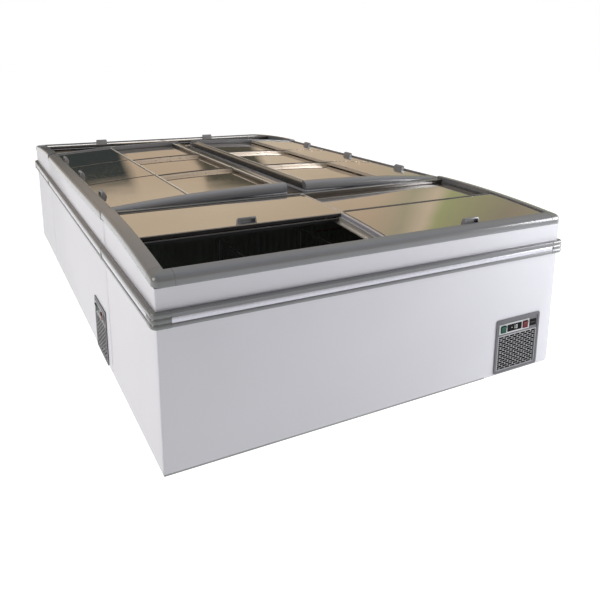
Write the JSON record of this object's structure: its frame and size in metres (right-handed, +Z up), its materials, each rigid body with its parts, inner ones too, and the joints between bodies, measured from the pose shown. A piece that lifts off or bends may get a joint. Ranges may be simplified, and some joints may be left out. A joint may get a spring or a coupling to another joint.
{
  "type": "island chest freezer",
  "caption": "Island chest freezer: two end cabinets round two back-to-back cabinets, curved sliding glass lids, grey rims, bumper rail and vent panels.",
  "frame": {"origin": "on the floor, under the middle of the island", "axes": "+Z up, +Y along the island's length towards the far end cabinet, +X to the right seen from the near end"},
  "size_m": [1.89, 3.53, 0.837],
  "materials": {
    "shop_white": "satin white coil-coated sheet",
    "liner_black": "dark ribbed liner, matt",
    "rim_grey": "satin grey moulded frame",
    "panel_grey": "fine textured grey",
    "bumper_grey": "satin grey with a bright band",
    "spine_dark": "matt dark",
    "lid_glass": "bronze reflective coated glass",
    "rocker_green": "gloss green",
    "rocker_red": "gloss red",
    "pot_black": "semi-gloss black",
    "fin_metal": "mill finish",
    "fan_black": "matt",
    "wire_grey": "coated wire"
  },
  "bodies": {
    "island": {"near_cabinet_shell": "shop_white", "near_insulated_tub": "liner_black", "near_top_rim": "rim_grey", "near_vent_panel": "panel_grey", "near_condenser": "fin_metal", "near_compressor": "pot_black", "left_cabinet_shell": "shop_white", "left_insulated_tub": "liner_black", "left_top_rim": "rim_grey", "left_vent_panel": "panel_grey", "left_condenser": "fin_metal", "left_compressor": "pot_black", "right_cabinet_shell": "shop_white", "right_insulated_tub": "liner_black", "right_top_rim": "rim_grey", "right_vent_panel": "panel_grey", "right_condenser": "fin_metal", "right_compressor": "pot_black", "far_cabinet_shell": "shop_white", "far_insulated_tub": "liner_black", "far_top_rim": "rim_grey", "far_vent_panel": "panel_grey", "far_condenser": "fin_metal", "far_compressor": "pot_black", "near_wire_divider_1": "wire_grey", "near_wire_divider_2": "wire_grey", "bumper_rail": "bumper_grey", "spine_cover": "spine_dark"},
    "near_front_lid_1": {"near_front_lid_1": "lid_glass"},
    "near_rear_lid_1": {"near_rear_lid_1": "lid_glass"},
    "near_front_lid_2": {"near_front_lid_2": "lid_glass"},
    "near_rear_lid_2": {"near_rear_lid_2": "lid_glass"},
    "near_power_rocker": {"near_power_rocker": "rocker_green"},
    "near_fast_freeze_rocker": {"near_fast_freeze_rocker": "rocker_red"},
    "near_condenser_fan": {"near_condenser_fan": "fan_black"},
    "left_front_lid_1": {"left_front_lid_1": "lid_glass"},
    "left_rear_lid_1": {"left_rear_lid_1": "lid_glass"},
    "left_front_lid_2": {"left_front_lid_2": "lid_glass"},
    "left_rear_lid_2": {"left_rear_lid_2": "lid_glass"},
    "left_front_lid_3": {"left_front_lid_3": "lid_glass"},
    "left_rear_lid_3": {"left_rear_lid_3": "lid_glass"},
    "left_power_rocker": {"left_power_rocker": "rocker_green"},
    "left_fast_freeze_rocker": {"left_fast_freeze_rocker": "rocker_red"},
    "left_condenser_fan": {"left_condenser_fan": "fan_black"},
    "right_front_lid_1": {"right_front_lid_1": "lid_glass"},
    "right_rear_lid_1": {"right_rear_lid_1": "lid_glass"},
    "right_front_lid_2": {"right_front_lid_2": "lid_glass"},
    "right_rear_lid_2": {"right_rear_lid_2": "lid_glass"},
    "right_front_lid_3": {"right_front_lid_3": "lid_glass"},
    "right_rear_lid_3": {"right_rear_lid_3": "lid_glass"},
    "right_power_rocker": {"right_power_rocker": "rocker_green"},
    "right_fast_freeze_rocker": {"right_fast_freeze_rocker": "rocker_red"},
    "right_condenser_fan": {"right_condenser_fan": "fan_black"},
    "far_front_lid_1": {"far_front_lid_1": "lid_glass"},
    "far_rear_lid_1": {"far_rear_lid_1": "lid_glass"},
    "far_front_lid_2": {"far_front_lid_2": "lid_glass"},
    "far_rear_lid_2": {"far_rear_lid_2": "lid_glass"},
    "far_power_rocker": {"far_power_rocker": "rocker_green"},
    "far_fast_freeze_rocker": {"far_fast_freeze_rocker": "rocker_red"},
    "far_condenser_fan": {"far_condenser_fan": "fan_black"}
  },
  "joints": [
    {"name": "near_front_lid_1_slide", "type": "hinge", "parent": "island", "child": "near_front_lid_1", "pos_m": [0, -0.925, -6.5297], "axis": [-1, 0, 0], "range_deg": [-2.6, 0]},
    {"name": "near_rear_lid_1_slide", "type": "hinge", "parent": "island", "child": "near_rear_lid_1", "pos_m": [0, -0.925, -6.5297], "axis": [-1, 0, 0], "range_deg": [-2.6, 0]},
    {"name": "near_front_lid_2_slide", "type": "hinge", "parent": "island", "child": "near_front_lid_2", "pos_m": [0, -0.925, -6.5297], "axis": [-1, 0, 0], "range_deg": [0, 2.6]},
    {"name": "near_rear_lid_2_slide", "type": "hinge", "parent": "island", "child": "near_rear_lid_2", "pos_m": [0, -0.925, -6.5297], "axis": [-1, 0, 0], "range_deg": [-2.6, 0]},
    {"name": "near_power_rocker_tip", "type": "hinge", "parent": "island", "child": "near_power_rocker", "pos_m": [0.621, -1.745, 0.256], "axis": [-1, 0, 0], "range_deg": [0, 14]},
    {"name": "near_fast_freeze_rocker_tip", "type": "hinge", "parent": "island", "child": "near_fast_freeze_rocker", "pos_m": [0.756, -1.745, 0.256], "axis": [-1, 0, 0], "range_deg": [0, 14]},
    {"name": "near_condenser_fan_spin", "type": "hinge", "parent": "island", "child": "near_condenser_fan", "pos_m": [0.708, -1.58, 0.17], "axis": [0, 1, 0], "continuous": true},
    {"name": "left_front_lid_1_slide", "type": "hinge", "parent": "island", "child": "left_front_lid_1", "pos_m": [-0.05, 0, -7.50701], "axis": [0, 1, 0], "range_deg": [0, 2.29]},
    {"name": "left_rear_lid_1_slide", "type": "hinge", "parent": "island", "child": "left_rear_lid_1", "pos_m": [-0.05, 0, -7.50701], "axis": [0, 1, 0], "range_deg": [-2.29, 0]},
    {"name": "left_front_lid_2_slide", "type": "hinge", "parent": "island", "child": "left_front_lid_2", "pos_m": [-0.05, 0, -7.50701], "axis": [0, 1, 0], "range_deg": [0, 2.29]},
    {"name": "left_rear_lid_2_slide", "type": "hinge", "parent": "island", "child": "left_rear_lid_2", "pos_m": [-0.05, 0, -7.50701], "axis": [0, 1, 0], "range_deg": [-2.29, 0]},
    {"name": "left_front_lid_3_slide", "type": "hinge", "parent": "island", "child": "left_front_lid_3", "pos_m": [-0.05, 0, -7.50701], "axis": [0, 1, 0], "range_deg": [0, 2.29]},
    {"name": "left_rear_lid_3_slide", "type": "hinge", "parent": "island", "child": "left_rear_lid_3", "pos_m": [-0.05, 0, -7.50701], "axis": [0, 1, 0], "range_deg": [-2.29, 0]},
    {"name": "left_power_rocker_tip", "type": "hinge", "parent": "island", "child": "left_power_rocker", "pos_m": [-0.925, -0.621, 0.256], "axis": [0, 1, 0], "range_deg": [0, 14]},
    {"name": "left_fast_freeze_rocker_tip", "type": "hinge", "parent": "island", "child": "left_fast_freeze_rocker", "pos_m": [-0.925, -0.756, 0.256], "axis": [0, 1, 0], "range_deg": [0, 14]},
    {"name": "left_condenser_fan_spin", "type": "hinge", "parent": "island", "child": "left_condenser_fan", "pos_m": [-0.76, -0.708, 0.17], "axis": [1, 0, 0], "continuous": true},
    {"name": "right_front_lid_1_slide", "type": "hinge", "parent": "island", "child": "right_front_lid_1", "pos_m": [0.05, 0, -7.50701], "axis": [0, -1, 0], "range_deg": [0, 2.29]},
    {"name": "right_rear_lid_1_slide", "type": "hinge", "parent": "island", "child": "right_rear_lid_1", "pos_m": [0.05, 0, -7.50701], "axis": [0, -1, 0], "range_deg": [-2.29, 0]},
    {"name": "right_front_lid_2_slide", "type": "hinge", "parent": "island", "child": "right_front_lid_2", "pos_m": [0.05, 0, -7.50701], "axis": [0, -1, 0], "range_deg": [0, 2.29]},
    {"name": "right_rear_lid_2_slide", "type": "hinge", "parent": "island", "child": "right_rear_lid_2", "pos_m": [0.05, 0, -7.50701], "axis": [0, -1, 0], "range_deg": [-2.29, 0]},
    {"name": "right_front_lid_3_slide", "type": "hinge", "parent": "island", "child": "right_front_lid_3", "pos_m": [0.05, 0, -7.50701], "axis": [0, -1, 0], "range_deg": [0, 2.29]},
    {"name": "right_rear_lid_3_slide", "type": "hinge", "parent": "island", "child": "right_rear_lid_3", "pos_m": [0.05, 0, -7.50701], "axis": [0, -1, 0], "range_deg": [-2.29, 0]},
    {"name": "right_power_rocker_tip", "type": "hinge", "parent": "island", "child": "right_power_rocker", "pos_m": [0.925, 0.621, 0.256], "axis": [0, -1, 0], "range_deg": [0, 14]},
    {"name": "right_fast_freeze_rocker_tip", "type": "hinge", "parent": "island", "child": "right_fast_freeze_rocker", "pos_m": [0.925, 0.756, 0.256], "axis": [0, -1, 0], "range_deg": [0, 14]},
    {"name": "right_condenser_fan_spin", "type": "hinge", "parent": "island", "child": "right_condenser_fan", "pos_m": [0.76, 0.708, 0.17], "axis": [-1, 0, 0], "continuous": true},
    {"name": "far_front_lid_1_slide", "type": "hinge", "parent": "island", "child": "far_front_lid_1", "pos_m": [0, 0.925, -6.5297], "axis": [1, 0, 0], "range_deg": [0, 2.6]},
    {"name": "far_rear_lid_1_slide", "type": "hinge", "parent": "island", "child": "far_rear_lid_1", "pos_m": [0, 0.925, -6.5297], "axis": [1, 0, 0], "range_deg": [-2.6, 0]},
    {"name": "far_front_lid_2_slide", "type": "hinge", "parent": "island", "child": "far_front_lid_2", "pos_m": [0, 0.925, -6.5297], "axis": [1, 0, 0], "range_deg": [0, 2.6]},
    {"name": "far_rear_lid_2_slide", "type": "hinge", "parent": "island", "child": "far_rear_lid_2", "pos_m": [0, 0.925, -6.5297], "axis": [1, 0, 0], "range_deg": [-2.6, 0]},
    {"name": "far_power_rocker_tip", "type": "hinge", "parent": "island", "child": "far_power_rocker", "pos_m": [-0.621, 1.745, 0.256], "axis": [1, 0, 0], "range_deg": [0, 14]},
    {"name": "far_fast_freeze_rocker_tip", "type": "hinge", "parent": "island", "child": "far_fast_freeze_rocker", "pos_m": [-0.756, 1.745, 0.256], "axis": [1, 0, 0], "range_deg": [0, 14]},
    {"name": "far_condenser_fan_spin", "type": "hinge", "parent": "island", "child": "far_condenser_fan", "pos_m": [-0.708, 1.58, 0.17], "axis": [0, -1, 0], "continuous": true}
  ]
}
